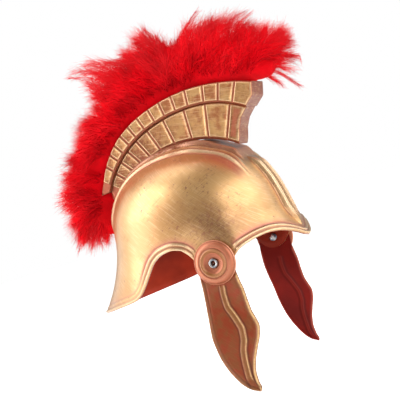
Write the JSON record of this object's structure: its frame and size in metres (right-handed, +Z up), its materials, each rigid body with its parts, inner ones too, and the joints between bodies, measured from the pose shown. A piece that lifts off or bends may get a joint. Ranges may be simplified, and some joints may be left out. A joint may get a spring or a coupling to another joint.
{
  "type": "roman legionary helmet",
  "caption": "Domed helmet with ear arches, flared neck guard, arched crest holder with a feather plume, and hinged wavy cheek pieces under round bosses.",
  "frame": {"origin": "inside of the crown on the middle plane, where the head sits", "axes": "+Z up, the face looks towards -Y, the wearer's left is +X"},
  "size_m": [0.2174, 0.329, 0.4139],
  "materials": {
    "antique_gold": "antique gold paint over copper",
    "antique_gold_crest": "antique gold paint over copper",
    "red_feather": "fluffy",
    "copper": "satin copper paint",
    "steel": "satin",
    "rust_gold": "red-brown with gold edges"
  },
  "bodies": {
    "helmet": {"bowl": "antique_gold", "crest_holder": "antique_gold_crest", "plume": "red_feather", "rosette_right": "copper", "rosette_left": "copper", "rivet_right": "steel", "rivet_left": "steel"},
    "cheek_right": {"cheek_piece_right": "rust_gold"},
    "cheek_left": {"cheek_piece_left": "rust_gold"}
  },
  "joints": [
    {"name": "cheek_right_hinge", "type": "hinge", "parent": "helmet", "child": "cheek_right", "pos_m": [-0.0923, -0.045, -0.1296], "axis": [1, 0, 0], "range_deg": [-45, 30]},
    {"name": "cheek_left_hinge", "type": "hinge", "parent": "helmet", "child": "cheek_left", "pos_m": [0.0923, -0.045, -0.1296], "axis": [1, 0, 0], "range_deg": [-45, 30]}
  ]
}
